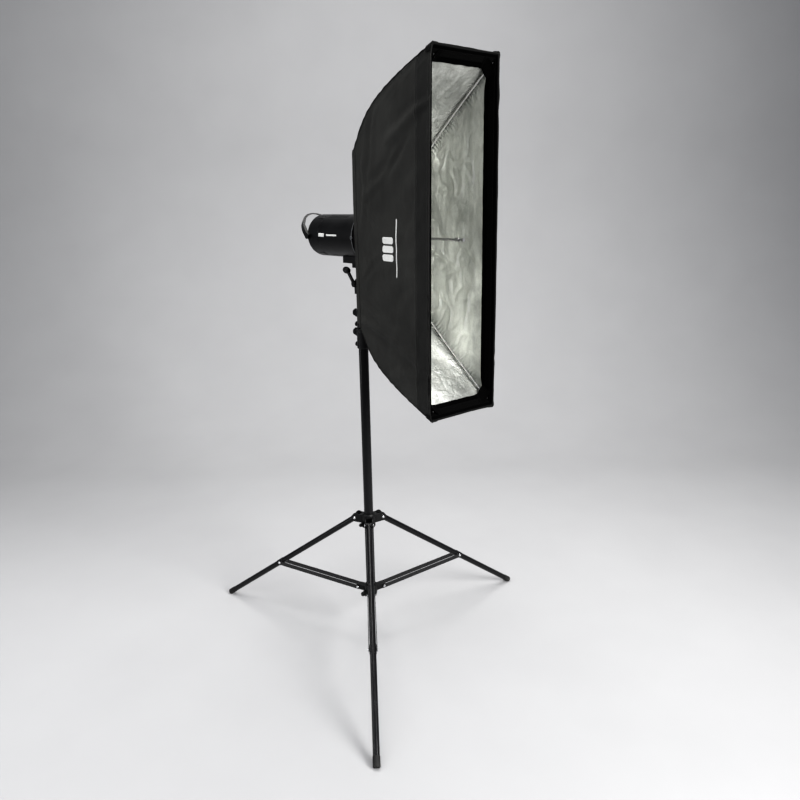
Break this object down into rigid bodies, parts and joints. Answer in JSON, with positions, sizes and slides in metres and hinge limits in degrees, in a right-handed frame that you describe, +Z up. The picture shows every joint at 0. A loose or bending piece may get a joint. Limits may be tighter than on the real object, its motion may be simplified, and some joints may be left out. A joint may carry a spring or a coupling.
{
  "type": "strip softbox on studio strobe and light stand",
  "caption": "Tall narrow fabric softbox with silver lining on a monolight strobe, tilting on a bracket above a telescopic folding tripod light stand.",
  "frame": {"origin": "on the floor at the middle of the whole object's footprint box; the column stands at X -123.5 mm, Y -34.8 mm", "axes": "+Z up, the light and the open front of the softbox face -Y, +X is to the right when looking along +Y"},
  "size_m": [1.006, 1.0887, 1.7929],
  "materials": {
    "stand_tube": "glossy black powder coat",
    "brace_steel": "semi-gloss black",
    "stand_casting": "black glass-filled nylon",
    "bright_steel": "bright zinc",
    "knob_plastic": "black moulded plastic",
    "foot_rubber": "black rubber",
    "bush_plastic": "grey acetal",
    "strobe_shell": "satin black enamel",
    "strobe_trim": "fine-textured black",
    "panel_plastic": "dark grey plastic",
    "display_glass": "smoked window",
    "red_plastic": "red button cap",
    "white_plastic": "white button cap",
    "cast_alloy": "satin alloy",
    "lamp_ceramic": "white heat-proof moulding",
    "lamp_glass": "clear quartz",
    "rod_steel": "black steel rod",
    "can_blue": "sleeved can",
    "board_green": "solder mask",
    "rib_steel": "spring steel",
    "outer_nylon": "charcoal woven nylon",
    "silver_lining": "metallised silver coating",
    "lip_nylon": "deep black nylon",
    "pocket_webbing": "black webbing"
  },
  "bodies": {
    "base": {"base_tube": "stand_tube", "spreader": "stand_casting", "spreader_rivets": "bright_steel", "base_bolts": "knob_plastic", "lower_collar": "stand_casting"},
    "hub": {"leg_hub": "stand_casting", "hub_rivets": "bright_steel", "hub_bolt": "knob_plastic"},
    "hub_knob": {"hub_knob": "knob_plastic"},
    "leg_right": {"leg_right": "stand_tube", "foot_right": "foot_rubber"},
    "leg_left": {"leg_left": "stand_tube", "foot_left": "foot_rubber"},
    "leg_front": {"leg_front": "stand_tube", "foot_front": "foot_rubber"},
    "brace_right": {"brace_right": "brace_steel"},
    "brace_left": {"brace_left": "brace_steel"},
    "brace_front": {"brace_front": "brace_steel"},
    "lower_knob": {"lower_knob": "knob_plastic"},
    "middle": {"middle_tube": "stand_tube", "middle_bush": "bush_plastic", "upper_collar": "stand_casting", "upper_collar_bolt": "knob_plastic"},
    "upper_knob": {"upper_knob": "knob_plastic"},
    "top": {"top_tube": "stand_tube", "top_bush": "bush_plastic", "spigot": "bright_steel"},
    "swivel": {"stand_socket": "stand_casting", "tilt_bolt": "bright_steel"},
    "socket_knob": {"socket_knob": "knob_plastic"},
    "tilt_lever": {"tilt_lever": "knob_plastic"},
    "head": {"tilt_block": "stand_casting", "strobe_shell": "strobe_shell", "rear_bezel": "strobe_trim", "control_panel": "panel_plastic", "display": "display_glass", "mains_inlet": "panel_plastic", "handle": "strobe_trim", "front_mount_ring": "cast_alloy", "lamp_plate": "lamp_ceramic", "flash_tube": "lamp_glass", "modelling_lamp": "lamp_glass", "capacitor": "can_blue", "circuit_board": "board_green", "ring_adapter": "cast_alloy"},
    "dial": {"dial": "panel_plastic"},
    "flash_button": {"flash_button": "red_plastic"},
    "lamp_button": {"lamp_button": "white_plastic"},
    "power_switch": {"power_switch": "panel_plastic"},
    "fan": {"cooling_fan": "panel_plastic"},
    "rod": {"accessory_rod": "rod_steel"},
    "softbox": {"speed_ring": "cast_alloy", "ribs": "rib_steel", "side_panel_left": "outer_nylon", "side_panel_right": "outer_nylon", "top_panel": "outer_nylon", "bottom_panel": "outer_nylon", "lining": "silver_lining", "front_lip": "lip_nylon", "corner_pockets": "pocket_webbing"}
  },
  "joints": [
    {"name": "stand_fold", "type": "slide", "parent": "base", "child": "hub", "axis": [0, 0, 1], "range_m": [0, 0.474]},
    {"name": "leg_right_hinge", "type": "hinge", "parent": "hub", "child": "leg_right", "pos_m": [-0.07551, -0.04023, 0.431], "axis": [0.1123, 0.9937, 0], "range_deg": [0, 52.07]},
    {"name": "brace_right_hinge", "type": "hinge", "parent": "base", "child": "brace_right", "pos_m": [-0.07739, -0.04001, 0.1736], "axis": [-0.1123, -0.9937, 0], "range_deg": [0, 84.78]},
    {"name": "leg_left_hinge", "type": "hinge", "parent": "hub", "child": "leg_left", "pos_m": [-0.1428, 0.00948, 0.431], "axis": [-0.9167, -0.3995, 0], "range_deg": [0, 52.07]},
    {"name": "brace_left_hinge", "type": "hinge", "parent": "base", "child": "brace_left", "pos_m": [-0.14204, 0.00773, 0.1736], "axis": [0.9167, 0.3995, 0], "range_deg": [0, 84.78]},
    {"name": "leg_front_hinge", "type": "hinge", "parent": "hub", "child": "leg_front", "pos_m": [-0.1522, -0.07365, 0.431], "axis": [0.8044, -0.5941, 0], "range_deg": [0, 52.07]},
    {"name": "brace_front_hinge", "type": "hinge", "parent": "base", "child": "brace_front", "pos_m": [-0.15107, -0.07212, 0.1736], "axis": [-0.8044, 0.5941, 0], "range_deg": [0, 84.78]},
    {"name": "hub_knob_turn", "type": "hinge", "parent": "hub", "child": "hub_knob", "pos_m": [-0.10568, -0.01067, 0.431], "axis": [0.5941, 0.8044, 0], "range_deg": [0, 540]},
    {"name": "lower_section", "type": "slide", "parent": "base", "child": "middle", "axis": [0, 0, 1], "range_m": [0, 0.74]},
    {"name": "lower_knob_turn", "type": "hinge", "parent": "base", "child": "lower_knob", "pos_m": [-0.1235, -0.0048, 1.058], "axis": [0, 1, 0], "range_deg": [0, 540]},
    {"name": "upper_section", "type": "slide", "parent": "middle", "child": "top", "axis": [0, 0, 1], "range_m": [0, 0.74]},
    {"name": "upper_knob_turn", "type": "hinge", "parent": "middle", "child": "upper_knob", "pos_m": [-0.1235, -0.0048, 1.118], "axis": [0, 1, 0], "range_deg": [0, 540]},
    {"name": "pan", "type": "hinge", "parent": "top", "child": "swivel", "pos_m": [-0.1235, -0.0348, 1.16], "axis": [0, 0, 1], "continuous": true},
    {"name": "socket_knob_turn", "type": "hinge", "parent": "swivel", "child": "socket_knob", "pos_m": [-0.0935, -0.0348, 1.16], "axis": [1, 0, 0], "range_deg": [0, 540]},
    {"name": "tilt", "type": "hinge", "parent": "swivel", "child": "head", "pos_m": [-0.1235, -0.0348, 1.21], "axis": [1, 0, 0], "range_deg": [-75, 25]},
    {"name": "tilt_lever_swing", "type": "hinge", "parent": "swivel", "child": "tilt_lever", "pos_m": [-0.1475, -0.0348, 1.21], "axis": [1, 0, 0], "range_deg": [-60, 120]},
    {"name": "softbox_spin", "type": "hinge", "parent": "head", "child": "softbox", "pos_m": [-0.1235, -0.1048, 1.349], "axis": [0, -1, 0], "continuous": true},
    {"name": "rod_slide", "type": "slide", "parent": "head", "child": "rod", "axis": [0, -1, 0], "range_m": [-0.025, 0.06]},
    {"name": "dial_turn", "type": "hinge", "parent": "head", "child": "dial", "pos_m": [-0.1235, 0.1552, 1.343], "axis": [0, 1, 0], "continuous": true},
    {"name": "power_rocker", "type": "hinge", "parent": "head", "child": "power_switch", "pos_m": [-0.1455, 0.1452, 1.319], "axis": [1, 0, 0], "range_deg": [-8, 8]},
    {"name": "flash_button_press", "type": "slide", "parent": "head", "child": "flash_button", "axis": [0, -1, 0], "range_m": [0, 0.0015], "stiffness_N_per_m": 400, "springref_m": -0.0005},
    {"name": "lamp_button_press", "type": "slide", "parent": "head", "child": "lamp_button", "axis": [0, -1, 0], "range_m": [0, 0.0015], "stiffness_N_per_m": 400, "springref_m": -0.0005},
    {"name": "fan_spin", "type": "hinge", "parent": "head", "child": "fan", "pos_m": [-0.1235, 0.1142, 1.349], "axis": [0, 1, 0], "continuous": true}
  ],
  "couplings": [
    {"joint": "leg_right_hinge", "follows": "stand_fold", "rad_per_m": 1.9173},
    {"joint": "brace_right_hinge", "follows": "stand_fold", "rad_per_m": 3.1216},
    {"joint": "leg_left_hinge", "follows": "stand_fold", "rad_per_m": 1.9173},
    {"joint": "brace_left_hinge", "follows": "stand_fold", "rad_per_m": 3.1216},
    {"joint": "leg_front_hinge", "follows": "stand_fold", "rad_per_m": 1.9173},
    {"joint": "brace_front_hinge", "follows": "stand_fold", "rad_per_m": 3.1216}
  ]
}
